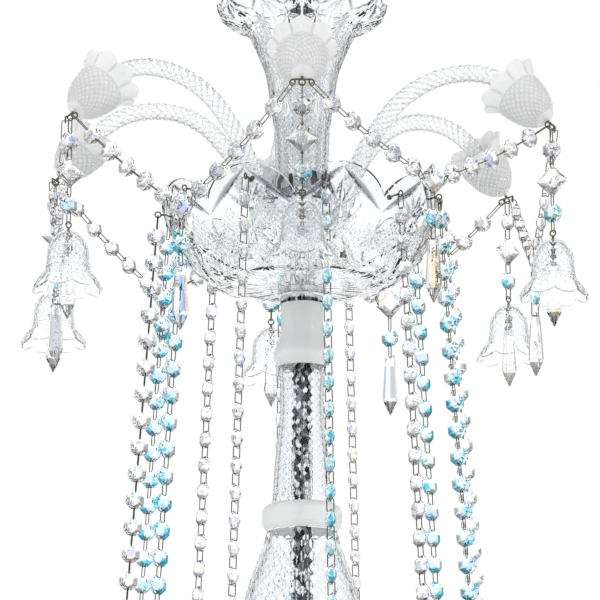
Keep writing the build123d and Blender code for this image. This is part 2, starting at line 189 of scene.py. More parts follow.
def vessel(
    points, wall, cols, rows, relief=None, below=None, top_rows=0, top_end=0.0,
    inner_rows=16, lip=0.8, shade=None,
):
    """Closed glass wall, turned about Z, with cuts in its outside and a lobed rim.

    Rows run evenly from top_end to the base; top_rows more fit between the lobed rim and top_end.
    shade gives the outside faces a value from 0 to 1, for how dark the light makes them.
    """
    line = Profile(points)
    theta = np.arange(cols) * TAU / cols
    levels = np.linspace(top_end, line.length, rows)[:, None] * np.ones(cols)
    if below is not None:
        rim = np.interp(below(theta), np.abs(line.z - line.z[0])[:600], line.s[:600])
        share = (np.arange(top_rows) / top_rows)[:, None]
        levels = np.vstack([rim + (top_end - rim) * share, levels])
    cuts, flips = np.zeros(levels.shape), None
    centre = (levels[1:] + levels[:-1]) / 2
    centre = (centre + np.roll(centre, -1, 1)) / 2
    middles = (theta + math.pi / cols + 0 * centre, centre, *line.on(centre))
    if relief is not None:
        cuts = relief(theta + 0 * levels, levels, *line.on(levels))
        middle = relief(*middles)
        a, b = cuts[:-1], np.roll(cuts[:-1], -1, 1)
        c, d = np.roll(cuts[1:], -1, 1), cuts[1:]
        flips = np.abs((b + d) / 2 - middle) < np.abs((a + c) / 2 - middle)
    outer_r, outer_z = line.at(levels, cuts)
    inside = levels[np.unique(np.linspace(0, len(levels) - 1, inner_rows).astype(int))[::-1]]
    inner_r, inner_z = line.at(inside, wall)
    lip_r, lip_z = line.at(levels[:1], wall / 2)
    lip_z = lip_z + lip * (1 if line.z[0] > line.z[-1] else -1)
    r, z = np.vstack([outer_r, inner_r, lip_r]), np.vstack([outer_z, inner_z, lip_z])
    xyz = np.stack([r * np.sin(theta), -r * np.cos(theta), z], -1).reshape(-1, 3)
    triangles = facing_out(xyz, grid_faces(len(r), cols, flips))
    values = np.zeros((len(r), cols))
    if shade is not None:
        values[: len(centre)] = shade(*middles)
    return xyz, triangles, np.tile(values.reshape(-1), 2)

def leaf(x, y, angle, reach, width, depth):
    """Depth of a mitre cut at a place beside its middle: a V groove that tapers to both ends."""
    a = math.radians(angle)
    along, across = x * math.cos(a) + y * math.sin(a), y * math.cos(a) - x * math.sin(a)
    return np.maximum(depth * (1 - (along / reach) ** 2) - np.abs(across) * depth / width, 0)

def star(x, y, points, reach, width, depth, turn=0.0):
    """Leaf cuts that cross in one place."""
    angles = [turn + 360 / points * k for k in range(points // 2)]
    return np.max([leaf(x, y, a, reach, width, depth) for a in angles], axis=0)

def diamonds(a, b, depth):
    """Depth of crossed V grooves: pyramids whose grooves run where a + b or a - b is whole."""
    near = [np.abs((v + 0.5) % 1 - 0.5) for v in (a + b, a - b)]
    return depth * (1 - 2 * np.minimum(*near))

def around(theta, radius, count, shift=0.0):
    """Distance along the wall from the nearest of some evenly spaced places; shift is a share of a step."""
    step = TAU / count
    return ((theta - shift * step + step / 2) % step - step / 2) * radius

# ---- cut patterns: depth of the cuts, and the painted shade of their faces, at azimuth theta, length s down the
# profile, radius r and height z ----
def trumpet_bars(lobe, s):
    """The two slanting bars of each of the trumpet's lobes."""
    return [leaf(lobe - 10, s - 17, 52, 19, 2.6, 1.5), leaf(lobe + 10, s - 17, -52, 19, 2.6, 1.5)]

def trumpet_cuts(theta, s, r, z):
    lobe, gap = around(theta, r, TRUMPET_LOBES), around(theta, r, TRUMPET_LOBES, 0.5)
    cut = trumpet_bars(lobe, s) + [
        leaf(lobe, s - 24, 90, 15, 2.4, 1.3),
        leaf(lobe - 4.5, s - 25, 72, 12, 1.8, 1.0),
        leaf(lobe + 4.5, s - 25, -72, 12, 1.8, 1.0),
        star(gap, s - 43, 8, 13, 2.4, 1.5, 0),
        star(lobe, s - 66, 8, 12, 2.2, 1.4, 22.5),
        leaf(lobe, s - 45, 90, 9, 1.6, 0.9),
        star(gap, s - 88, 8, 10, 2.0, 1.3, 0),
        leaf(lobe - 2.6, s - 122, 78, 17, 2.0, 1.2),
        leaf(lobe + 2.6, s - 122, -78, 17, 2.0, 1.2),
        star(gap, s - 122, 8, 9, 1.8, 1.3, 0),
        star(lobe, s - 152, 8, 8, 1.7, 1.3, 22.5),
    ]
    fields = (np.abs(lobe) + np.abs(s - 100) * 0.55 < 9) | ((s > 52) & (s < 80) & (np.abs(gap) < 4.5))
    cut.append(np.where(fields, diamonds(theta * 84 / TAU, s / 5.0, 0.8), 0))
    neck = s > 138 + 6 * np.cos(TRUMPET_LOBES * theta)
    cut.append(np.where(neck, diamonds(theta * 30 / TAU, s / 6.4, 1.1), 0))
    return np.max(cut, axis=0)

def bowl_around(theta, r, shift=0.0):
    """Distance along the bowl's wall from the nearest lobe's middle, or from a place beside it."""
    return around(theta, r, BOWL_LOBES, BOWL_TURN * BOWL_LOBES / 360 + shift)

def bowl_bars(lobe, s):
    """The two slanting bars of each of the bowl's lobes."""
    return [leaf(lobe - 22, s - 24, 42, 33, 4.0, 2.2), leaf(lobe + 22, s - 24, -42, 33, 4.0, 2.2)]

def bowl_cuts(theta, s, r, z):
    lobe, gap = bowl_around(theta, r), bowl_around(theta, r, 0.5)
    cut = bowl_bars(lobe, s) + [
        star(lobe, s - 66, 8, 22, 3.4, 2.1, 0),
        star(lobe, s - 66, 8, 13, 2.2, 1.5, 22.5),
        star(gap, s - 72, 8, 21, 3.2, 2.0, 0),
        star(gap, s - 72, 8, 12, 2.2, 1.4, 22.5),
        star(lobe, s - 112, 8, 17, 2.8, 1.7, 0),
        star(gap, s - 122, 8, 14, 2.6, 1.6, 0),
        leaf(lobe - 18, s - 92, 58, 34, 3.0, 1.9),
        leaf(lobe + 18, s - 92, -58, 34, 3.0, 1.9),
        leaf(lobe, s - 150, 90, 24, 3.6, 1.6),
        leaf(gap, s - 158, 90, 22, 3.2, 1.4),
        leaf(lobe - 4.5, s - 34, 76, 18, 1.9, 1.2),
        leaf(lobe + 4.5, s - 34, -76, 18, 1.9, 1.2),
    ]
    for tilt in (-52, -27, 0, 27, 52):
        a = math.radians(tilt)
        cut.append(leaf(lobe - 15 * math.sin(a), s - 45 + 15 * math.cos(a), 90 + tilt, 14, 2.6, 1.5))
    fields = np.abs(np.abs(lobe) - 23) / 15 + np.abs(s - 62) / 24 < 1
    fields |= np.abs(lobe) / 12 + np.abs(s - 90) / 9 < 1
    cut.append(np.where(fields, diamonds(theta * 135 / TAU, s / 6.2, 0.5), 0))
    return np.max(cut, axis=0) * np.clip(1.0 - (s - 88) / 55, 0.14, 1)

def trumpet_shade(theta, s, r, z):
    """The bars near the rim take the darkest light, and the cuts on the neck the least dark."""
    bars = np.max(trumpet_bars(around(theta, r, TRUMPET_LOBES), s), axis=0)
    grooves = np.where(s < 100, 0.22, 0.14) * (trumpet_cuts(theta, s, r, z) > 0.5)
    return np.clip(bars * 0.6 + grooves, 0, 1)

def bowl_shade(theta, s, r, z):
    """The two bars of every lobe take the darkest light, and the cuts fade towards the base."""
    bars = np.max(bowl_bars(bowl_around(theta, r), s), axis=0)
    upper = np.clip((120 - s) / 60, 0, 1)
    rim = 0.15 * np.clip((44 - s) / 20, 0, 1)
    return np.clip(rim + bars * 0.5 + 0.2 * upper * (bowl_cuts(theta, s, r, z) > 0.6), 0, 1)

NECK_DEPTH, VASE_DEPTH = 0.9, 1.4

def neck_cuts(theta, s, r, z):
    return np.where((s > 4) & (s < 142), diamonds(theta * 18 / TAU, (s - 4) / 8.0, NECK_DEPTH), 0)

def diamond_shade(cuts, deepest):
    """Shade of the grooves of a diamond field."""
    return lambda theta, s, r, z: 0.3 * np.clip(cuts(theta, s, r, z) / deepest * 2.2 - 1.2, 0, 1)

def vase_cuts(theta, s, r, z):
    ends = np.clip(np.minimum(s - 6, 215 - s) / 6, 0, 1)
    return diamonds(theta * 26 / TAU, s / 13.0, VASE_DEPTH) * ends

def tulip_cuts(theta, s, r, z):
    belly = np.where((z < 42) & (z > 5), diamonds(theta * 22 / TAU, s / 6.8, 1.0), 0)
    ridge = 1.2 * np.clip(1 - np.abs(z - 43.5) / 1.6, 0, 1)
    valley = leaf(around(theta, r, PETALS, 0.5), s - 10, 90, 14, 3.5, 1.2)
    vein = leaf(around(theta, r, PETALS), s - 10, 90, 9, 1.5, 0.5)
    return np.max([belly, ridge, valley, vein], axis=0)

def bell_cuts(theta, s, r, z):
    dome = np.where((z > -33) & (z < -4), diamonds(theta * 16 / TAU, (z + 33) / 7.2, 1.0), 0)
    band = np.where((z > -45.5) & (z < -36), diamonds(theta * 24 / TAU, (z + 45.5) / 4.8, 0.85), 0)
    valley = leaf(around(theta, r, PETALS, 0.5), z + 54, 90, 8, 3.0, 0.9)
    vein = leaf(around(theta, r, PETALS), z + 52, 90, 6, 1.6, 0.7)
    side_veins = leaf(around(theta, r, 2 * PETALS, 0.5), z + 51, 90, 5, 1.2, 0.6)
    return np.max([dome, band, valley, vein, side_veins], axis=0)

def bell_shade(theta, s, r, z):
    """Shade of the deepest grooves, and of the ring above the band."""
    deep = np.clip((bell_cuts(theta, s, r, z) - 0.55) / 0.45, 0, 1)
    ring_line = np.clip(1 - np.abs(z + 34.5) / 0.9, 0, 1)
    return np.clip(0.42 * deep * (z < -3) + 0.4 * ring_line, 0, 1)

def tulip_shade(theta, s, r, z):
    """Shade of the diamonds' grooves and the ridge, with a belly a little darker than the petals."""
    deep = np.clip((tulip_cuts(theta, s, r, z) - 0.45) / 0.5, 0, 1)
    return 0.62 * deep + 0.1 * np.clip((46 - z) / 10, 0, 1) * (z > 4)

# ---- beads and wire ----
def solid(points, faces):
    """Triangles and a mark per flat face, for a convex solid given by its corners and its faces."""
    triangles, marks = [], []
    for mark, face in enumerate(faces):
        for k in range(1, len(face) - 1):
            triangles.append((face[0], face[k], face[k + 1]))
            marks.append(mark)
    points, triangles, marks = np.array(points, float), np.array(triangles), np.array(marks)
    middle = points.mean(0)
    a, b, c = (points[triangles[:, k]] for k in range(3))
    inward = np.einsum("ij,ij->i", np.cross(b - a, c - a), a - middle) < 0
    triangles[inward] = triangles[inward][:, ::-1]
    return points, triangles, marks

def drilled(part, holes, radius=1.1, sides=12):
    """A cut bead with round wire holes along Y at (x, z) places; faces of one direction share a mark."""
    points, triangles, _ = part
    mesh = bpy.data.meshes.new("bead")
    mesh.from_pydata(points.tolist(), [], triangles.tolist())
    bead = bpy.data.objects.new("bead", mesh)
    bpy.context.scene.collection.objects.link(bead)
    cutters = []
    for x, z in holes:
        ring_points = [
            (x + radius * math.cos(TAU * k / sides), y, z + radius * math.sin(TAU * k / sides))
            for y in (-20, 20) for k in range(sides)
        ]
        walls = [(k, (k + 1) % sides, sides + (k + 1) % sides, sides + k) for k in range(sides)]
        caps = [tuple(range(sides))[::-1], tuple(range(sides, 2 * sides))]
        hole = bpy.data.meshes.new("hole")
        hole.from_pydata(ring_points, [], walls + caps)
        cutter = bpy.data.objects.new("hole", hole)
        bpy.context.scene.collection.objects.link(cutter)
        cutters.append(cutter)
        cut = bead.modifiers.new("hole", "BOOLEAN")
        cut.operation, cut.solver, cut.object = "DIFFERENCE", "EXACT", cutter
    bpy.context.view_layer.update()
    result = bpy.data.meshes.new_from_object(bead.evaluated_get(bpy.context.evaluated_depsgraph_get()))
    result.calc_loop_triangles()
    new_points = np.array([v.co for v in result.vertices])
    new_triangles = np.array([t.vertices for t in result.loop_triangles])
    a, b, c = (new_points[new_triangles[:, k]] for k in range(3))
    area = np.linalg.norm(np.cross(b - a, c - a), axis=1)
    new_triangles = new_triangles[area > 1e-7]
    a, b, c = (new_points[new_triangles[:, k]] for k in range(3))
    normals = np.cross(b - a, c - a)
    normals = np.round(normals / np.linalg.norm(normals, axis=1)[:, None], 2) + 0.0
    marks = np.unique(normals, axis=0, return_inverse=True)[1].reshape(-1)
    for obj in (bead, *cutters):
        bpy.data.objects.remove(obj)
    return new_points, facing_out(new_points, new_triangles), marks

def brilliant(sides, girdle_r, table_r, thick, star_r, star_rise, turn, girdle=1.6):
    """Flat bead in the XZ plane, cut alike front and back: table, star facets, kites and girdle facets."""
    points, faces = [], []
    step = TAU / sides
    circles = ((table_r, thick / 2, 0), (star_r, star_rise, 0.5), (girdle_r, girdle / 2, 0))
    for side in (1, -1):
        for radius, depth, shift in circles:
            for k in range(sides):
                a = math.radians(turn) + (k + shift) * step
                points.append((radius * math.cos(a), side * depth, radius * math.sin(a)))
    for base in (0, 3 * sides):
        table, mid, edge = base, base + sides, base + 2 * sides
        faces.append([table + k for k in range(sides)])
        for k in range(sides):
            n, p = (k + 1) % sides, (k - 1) % sides
            faces.append([table + k, table + n, mid + k])
            faces.append([table + k, mid + k, edge + k])
            faces.append([table + k, mid + p, edge + k])
            faces.append([mid + k, edge + k, edge + n])
    for k in range(sides):
        n = (k + 1) % sides
        faces.append([2 * sides + k, 2 * sides + n, 5 * sides + n, 5 * sides + k])
    return solid(points, faces)

def spear():
    """Eight-sided icicle that hangs from Z 0: shoulders, a widening shaft with fluted sides, and a point."""
    levels = [
        (4.2, 3.5, 0.45), (5.6, -0.5, 0.75), (5.9, -10, 1), (8.1, -44.5, 1), (5.2, -52, 1), (0.5, -61.5, 1),
    ]
    points, faces = [], []
    for radius, z, flat in levels:
        for k in range(8):
            a = TAU * (k + 0.5) / 8
            points.append((radius * math.cos(a), radius * math.sin(a) * flat, z))
    for row in range(len(levels) - 1):
        for k in range(8):
            n = (k + 1) % 8
            faces.append([row * 8 + k, row * 8 + n, row * 8 + 8 + n])
            faces.append([row * 8 + k, row * 8 + 8 + n, row * 8 + 8 + k])
    faces.append(list(range(8)))
    faces.append([8 * (len(levels) - 1) + k for k in range(8)])
    return solid(points, faces)

def tube(line, radius, sides=8, closed=False):
    """Round wire along a line of points, with domed ends if it is open."""
    line = np.asarray(line, float)
    if closed:
        way = np.roll(line, -1, 0) - np.roll(line, 1, 0)
    else:
        way = np.gradient(line, axis=0)
    way /= np.linalg.norm(way, axis=1)[:, None]
    plane = np.cross(way[0], way[len(way) // 3])
    side = unit(plane) if np.linalg.norm(plane) > 1e-3 else unit(np.cross(way[0], [0.31, 0.77, 0.21]))
    rows, sizes = [], np.ones(len(line))
    if not closed:
        line = np.vstack([line[0] - way[0] * radius * 0.6, line, line[-1] + way[-1] * radius * 0.6])
        way = np.vstack([way[:1], way, way[-1:]])
        sizes = np.concatenate([[0.4], sizes, [0.4]])
    for point, direction, size in zip(line, way, sizes):
        across = unit(side - direction * np.dot(side, direction))
        other = np.cross(direction, across)
        for k in range(sides):
            a = TAU * k / sides
            rows.append(point + radius * size * (across * math.cos(a) + other * math.sin(a)))
    points = np.array(rows)
    triangles = grid_faces(len(line), sides, wrap_rows=closed)
    if not closed:
        last = (len(line) - 1) * sides
        caps = [(0, k, k + 1) for k in range(1, sides - 1)]
        caps += [(last, last + k + 1, last + k) for k in range(1, sides - 1)]
        triangles = np.vstack([triangles, np.array(caps)[:, ::-1]])
    return points, facing_out(points, triangles), np.zeros(len(triangles))

def wire_link(length):
    """Closed link with round corners in the YZ plane, its top rung at Z 0."""
    half, bend = LINK_WIDTH / 2, 1.3
    line = []
    for cy, cz, start in ((half, 0, 90), (half, -length, 0), (-half, -length, 270), (-half, 0, 180)):
        centre_y, centre_z = cy - math.copysign(bend, cy), cz + (bend if cz < 0 else -bend)
        for k in range(5):
            a = math.radians(start - 22.5 * k)
            line.append((0, centre_y + bend * math.cos(a), centre_z + bend * math.sin(a)))
    return tube(line, WIRE_R, closed=True)

def ring_part(major=RING_R):
    """Wire ring in the XZ plane."""
    angles = np.arange(24) * TAU / 24
    circle = np.stack([major * np.cos(angles), 0 * angles, major * np.sin(angles)], 1)
    return tube(circle, RING_WIRE, 10, True)

def rod(top, end, radius, sides=12):
    return tube([(0, 0, z) for z in np.linspace(top, end, 4)], radius, sides)

octagon = drilled(
    brilliant(8, 9 / math.cos(TAU / 16), 3.6, 9.0, 5.4, 3.35, 22.5), [(0, OCTAGON_REACH), (0, -OCTAGON_REACH)]
)
lozenge = drilled(
    brilliant(4, 23 / math.sqrt(2), 5.6, 10.0, 7.6, 3.5, 0),
    [(0, LOZENGE_REACH), (0, -LOZENGE_REACH), (LOZENGE_REACH, 0), (-LOZENGE_REACH, 0)],
)
icicle = drilled(spear(), [(0, 0)])

def sparkling(part, lit=None):
    """A bead whose facets each have a value from 0 to 1, for painted flashes in their colour; lit is where
    high ones face, as painted shade.
    """
    points, triangles, marks = part
    values = rng.random(marks.max() + 1)
    if lit is not None:
        a, b, c = (points[triangles[:, k]] for k in range(3))
        normals = np.cross(b - a, c - a)
        normals /= np.linalg.norm(normals, axis=1)[:, None]
        # painted shade: facets that face lit get higher values, which are deeper and darker colours
        for mark in range(len(values)):
            toward = normals[marks == mark].mean(0) @ unit(np.array(lit, float))
            values[mark] = np.clip(0.42 + 0.5 * toward + 0.45 * (values[mark] - 0.5), 0, 1)
    return points, triangles, values[marks]

def string(points, beads, facing, blue=()):
    """Beads along a line of points, and the links between them.

    beads has (part, reach to its holes) for each point, or None; blue lists the places of the blue beads,
    whose lower facets on one side get painted shade, the deepest colour.
    """
    placed_beads, links, tops, ends = [], [], [], []
    for i, (point, bead) in enumerate(zip(points, beads)):
        along = unit(points[max(i - 1, 0)] - points[min(i + 1, len(points) - 1)])
        reach = bead[1] if bead else 0.0
        tops.append(point + along * reach)
        ends.append(point - along * reach)
        if bead:
            # painted shade on blue beads: facets facing down and to one side take the deepest colour
            lit = (rng.choice([-1, 1]), 0, -1.0) if i in blue else None
            placed_beads.append(placed(sparkling(bead[0], lit), frame_at(point, along, facing)))
    for end, top in zip(ends[:-1], tops[1:]):
        links.append(placed(wire_link(np.linalg.norm(end - top)), frame_at(end, end - top, facing)))
    return placed_beads, links

# ---- where things hang ----
def hook_point(i):
    return outward(ARM_AZIMUTHS[i]) * HOOK_R + UP * HOOK_Z

def pendant_facing(i):
    """Way a pendant's beads face: outward at the front and back, and along the bowl's rim elsewhere."""
    azimuth = ARM_AZIMUTHS[i]
    return outward(azimuth if abs(outward(azimuth)[1]) > 0.9 else azimuth + 90)

def garland_ends(i):
    """Wire rings that a garland hangs between."""
    j = (i + 1) % len(ARM_AZIMUTHS)
    return [hook_point(k) + outward(ARM_AZIMUTHS[k] + side) * SIDE_RING for k, side in ((i, 90), (j, -90))]

def garland_points(i):
    """Places of a garland's ends and beads: two sagging halves that meet at its lowest bead."""
    start, end = [point - UP * SEAT for point in garland_ends(i)]
    middle = (start + end) / 2 - UP * GARLAND_FALLS[i]
    steps = GARLAND_BEADS + 1
    halves = []
    for hung in (start, end):
        shares = [k / steps for k in range(steps)]
        halves.append([hung + (middle - hung) * t - UP * 4 * GARLAND_SAG * t * (1 - t) for t in shares])
    return halves[0] + [middle] + halves[1][::-1]

def garland_facing(i):
    start, end = garland_ends(i)
    return unit(np.cross(UP, end - start))

def chain_start(azimuth):
    """Top of a long chain, which is lower where its hook sits in a dip of the bowl's rim."""
    step = 360 / BOWL_LOBES
    off = abs((azimuth - BOWL_TURN + step / 2) % step - step / 2)
    level = CHAIN_Z + 1 if off < LOBE_SHARE * step else CHAIN_Z - DIP
    return outward(azimuth) * CHAIN_R + UP * (level - SEAT)

def bell_crown(i):
    return hook_point(i) - UP * (2 * SEAT + PENDANT_DROPS[-1] + EYE_RISE)

# ---- materials ----
def new_material(name, color, **sockets):
    """Principled material with values set on its own sockets; returns it with its nodes, links and shader."""
    material = bpy.data.materials.new(name)
    material.use_nodes = True
    tree = material.node_tree
    shader = tree.nodes["Principled BSDF"]
    shader.inputs["Base Color"].default_value = (*color, 1)
    for socket, value in sockets.items():
        shader.inputs[socket.replace("_", " ")].default_value = value
    return material, tree.nodes, tree.links, shader

def noise(nodes, links, scale, detail=3.0):
    """Noise that sticks to the piece."""
    place = nodes.new("ShaderNodeTexCoord")
    texture = nodes.new("ShaderNodeTexNoise")
    texture.inputs["Scale"].default_value = scale
    texture.inputs["Detail"].default_value = detail
    links.new(place.outputs["Object"], texture.inputs["Vector"])
    return texture.outputs["Fac"]

def vary(nodes, links, source, target, low, high):
    """Spreads a noise between two values of a shader's socket."""
    spread = nodes.new("ShaderNodeMapRange")
    spread.inputs["From Min"].default_value = 0.3
    spread.inputs["From Max"].default_value = 0.7
    spread.inputs["To Min"].default_value = low
    spread.inputs["To Max"].default_value = high
    links.new(source, spread.inputs["Value"])
    links.new(spread.outputs["Result"], target)

def bump(nodes, links, source, shader, strength, distance):
    node = nodes.new("ShaderNodeBump")
    node.inputs["Strength"].default_value = strength
    node.inputs["Distance"].default_value = distance
    links.new(source, node.inputs["Height"])
    links.new(node.outputs["Normal"], shader.inputs["Normal"])

def ramp(nodes, links, source, target, stops, sharp=False):
    """Colours by value: stops are (position, colour)."""
    node = nodes.new("ShaderNodeValToRGB")
    node.color_ramp.interpolation = "CONSTANT" if sharp else "LINEAR"
    elements = node.color_ramp.elements
    while len(elements) > 1:
        elements.remove(elements[-1])
    elements[0].position, elements[0].color = stops[0][0], (*stops[0][1], 1)
    for position, color in stops[1:]:
        elements.new(position).color = (*color, 1)
    links.new(source, node.inputs["Fac"])
    links.new(node.outputs["Color"], target)

def calculate(nodes, links, operation, *values):
    """Math node; its inputs are numbers or other nodes' outputs."""
    node = nodes.new("ShaderNodeMath")
    node.operation = operation
    for socket, value in zip(node.inputs, values):
        if isinstance(value, (int, float)):
            socket.default_value = value
        else:
            links.new(value, socket)
    return node.outputs["Value"]

def facet_value(nodes):
    facet = nodes.new("ShaderNodeAttribute")
    facet.attribute_name = "facet"
    return facet.outputs["Fac"]

def cut_glass(name, ior, clear, roughness, mottle, painted_glow=0.0):
    """Clear glass with painted shade, darker where a cut's facet value says so.

    clear is its share of see-through light, mottle its unevenness, and the last argument the strength of a
    white emission: a painted glow for the light it scatters back.
    """
    # painted glow: a faint white emission, though the glass is no lamp
    material, nodes, links, shader = new_material(
        name, (1, 1, 1), Transmission_Weight=clear, IOR=ior,
        Emission_Color=(1, 1, 1, 1), Emission_Strength=painted_glow,
    )
    # painted shade: the facet value, with random mottle added, darkens the base colour through the ramp
    mottle_and_painted_shade = calculate(nodes, links, "MULTIPLY_ADD", noise(nodes, links, 18), mottle, facet_value(nodes))
    ramp(nodes, links, mottle_and_painted_shade, shader.inputs["Base Color"], [
        (0.0, (0.985, 0.992, 0.996)), (0.12, (0.93, 0.95, 0.96)), (0.4, (0.66, 0.7, 0.74)),
        (1.0, (0.16, 0.18, 0.21)),
    ])
    vary(nodes, links, noise(nodes, links, 60), shader.inputs["Roughness"], roughness * 0.4, roughness)
    bump(nodes, links, noise(nodes, links, 90, 1.0), shader, 0.15, 0.0005)
    return material

def frosted_glass(name, color, shade):
    """Acid-etched glass, which scatters most light and lets a rough part of it through."""
    material, nodes, links, shader = new_material(
        name, color, Transmission_Weight=0.45, IOR=1.25, Roughness=0.55
    )
    # random etched clouding, plus painted shade from the facet value, darkens the colour
    etched_cloud_and_painted_shade = calculate(nodes, links, "MULTIPLY_ADD", noise(nodes, links, 40, 5.0), 0.2, facet_value(nodes))
    dark = tuple(0.72 * v for v in shade)
    ramp(nodes, links, etched_cloud_and_painted_shade, shader.inputs["Base Color"], [(0.05, color), (0.2, shade), (1.0, dark)])
    vary(nodes, links, noise(nodes, links, 300), shader.inputs["Roughness"], 0.42, 0.62)
    bump(nodes, links, noise(nodes, links, 1400, 2.0), shader, 0.2, 0.0003)
    return material

def crystal(name, stops):
    """Cut crystal whose facets flash in different colours: painted flashes and painted shade, chosen by each
    facet's value.
    """
    material, nodes, links, shader = new_material(name, (1, 1, 1), Transmission_Weight=1.0, IOR=1.36)
    ramp(nodes, links, facet_value(nodes), shader.inputs["Base Color"], stops, sharp=True)
    vary(nodes, links, noise(nodes, links, 120), shader.inputs["Roughness"], 0.0, 0.02)
    return material

def metal(name, color, dull, low, high):
    """Metal with duller clouds; low and high are the ends of its roughness."""
    material, nodes, links, shader = new_material(name, color, Metallic=1.0)
    stops = [(0.35, dull), (0.6, color)]
    ramp(nodes, links, noise(nodes, links, 70, 6.0), shader.inputs["Base Color"], stops)
    vary(nodes, links, noise(nodes, links, 160), shader.inputs["Roughness"], low, high)
    bump(nodes, links, noise(nodes, links, 500, 2.0), shader, 0.05, 0.0002)
    return material

REFLECTION_CELLS_ROUND, REFLECTION_CELL_HEIGHT = 11.0, 7.0
ABOVE_BOWL, ABOVE_TRUMPET = -0.34, -0.1  # heights, in metres, above which the tube gets painted light and looks brighter

def chrome_with_painted_reflections(name):
    """Chrome with painted reflections: bright and dark lozenges, as the cut glass around it shows it."""
    material, nodes, links, shader = new_material(name, (0.5, 0.5, 0.52), Metallic=1.0)
    place, split = nodes.new("ShaderNodeTexCoord"), nodes.new("ShaderNodeSeparateXYZ")
    links.new(place.outputs["Object"], split.inputs[0])
    x, y, z = (split.outputs[k] for k in range(3))

    def result(operation, *values):
        return calculate(nodes, links, operation, *values)

    angle = result("MULTIPLY", result("ARCTAN2", x, y), REFLECTION_CELLS_ROUND / TAU)
    height = result("MULTIPLY", z, 1 / (MM * REFLECTION_CELL_HEIGHT))
    # random cells of painted reflection, in slanting rows round the tube
    cell, reflection_cells = nodes.new("ShaderNodeCombineXYZ"), nodes.new("ShaderNodeTexWhiteNoise")
    links.new(result("FLOOR", result("ADD", angle, height)), cell.inputs["X"])
    links.new(result("FLOOR", result("SUBTRACT", angle, height)), cell.inputs["Y"])
    links.new(cell.outputs[0], reflection_cells.inputs["Vector"])
    tone = nodes.new("ShaderNodeSeparateColor")
    links.new(reflection_cells.outputs["Color"], tone.inputs[0])
    # painted light: the tube is brighter above the bowl, where light from the rim reaches it, and brighter
    # again above the trumpet
    lit = result("MULTIPLY_ADD", result("GREATER_THAN", z, ABOVE_BOWL), 0.5, tone.outputs[0])
    lit = result("ADD", lit, result("GREATER_THAN", z, ABOVE_TRUMPET))
    # painted reflections: steps from dark to bright chrome colour
    ramp(nodes, links, lit, shader.inputs["Base Color"], [
        (0.0, (0.03, 0.032, 0.036)), (0.3, (0.1, 0.105, 0.115)), (0.5, (0.3, 0.31, 0.33)),
        (0.68, (0.66, 0.67, 0.69)), (0.8, (0.97, 0.97, 0.98)),
    ], sharp=True)
    vary(nodes, links, noise(nodes, links, 160), shader.inputs["Roughness"], 0.03, 0.12)
    return material

GLASS = cut_glass("cut_glass", 1.38, 1.0, 0.03, 0.09)
THIN = cut_glass("moulded_glass", 1.17, 1.0, 0.03, 0.04)
# the last value of the next two materials is a painted glow, a faint white emission
PRESSED = cut_glass("pressed_glass", 1.22, 1.0, 0.03, 0.04, 0.033)
TWISTED = cut_glass("twisted_glass", 1.14, 0.94, 0.05, 0.04, 0.02)
FROST = frosted_glass("frosted_glass", (0.97, 0.985, 0.98), (0.935, 0.955, 0.95))
PETAL = frosted_glass("frosted_tulip", (0.95, 0.955, 0.95), (0.915, 0.92, 0.915))
# painted flashes: most facets white, a few painted dark grey, orange, blue and violet as reflections and fire
CLEAR = crystal("clear_crystal", [
    (0.0, (0.995, 0.995, 1.0)), (0.8, (0.93, 0.95, 0.97)), (0.89, (0.42, 0.44, 0.48)),
    (0.95, (1.0, 0.74, 0.42)), (0.965, (0.36, 0.5, 1.0)), (0.985, (0.72, 0.58, 0.92)),
])
# the blue crystal's own colour, pale to deep; where a bead has a lit direction, facets facing down to one
# side take the deep stops as painted shade
BLUE = crystal("blue_crystal", [
    (0.0, (0.92, 0.98, 0.995)), (0.5, (0.6, 0.88, 0.97)), (0.72, (0.02, 0.52, 0.86)),
    (0.96, (0.02, 0.24, 0.36)),
])
CHROME = metal("chrome", (0.7, 0.71, 0.73), (0.52, 0.53, 0.55), 0.03, 0.1)
PAINTED_REFLECTION_CHROME = chrome_with_painted_reflections("chrome_painted_reflections")
WIRE = metal("nickel_wire", (0.2, 0.18, 0.11), (0.11, 0.1, 0.06), 0.25, 0.4)

# ---- the glass on the stem: (radius, height) profiles ----
ROOT = "stem_assembly"
TRUMPET = (
    (87, -78), (82, -91), (72, -96.5), (60, -102.5), (48, -122), (38, -148), (34, -169), (30, -195),
    (27.5, -231), (27, -272),
)
BOWL = (
    (142, -279), (140, -296), (134, -313.5), (128, -329), (120, -342.5), (108, -355), (95, -366),
    (78, -373.5), (45, -375.5), (9.5, -375.5),
)
SLEEVE = (
    (21, -391), (21, -408), (21.3, -421), (25, -433), (28, -441), (28, -445.5), (26.6, -449.5), (24.4, -455),
)
NECK = ((25, -447), (23.5, -459), (22, -489), (23.5, -520), (26, -541), (29.5, -593.5))
RING = ((31, -593.5), (38, -598), (39.8, -606), (38.5, -615), (34.5, -620.5))
VASE = (
    (34, -619.5), (46, -655), (54, -677), (59, -707), (60, -735), (54, -763), (40, -786), (22, -800),
)

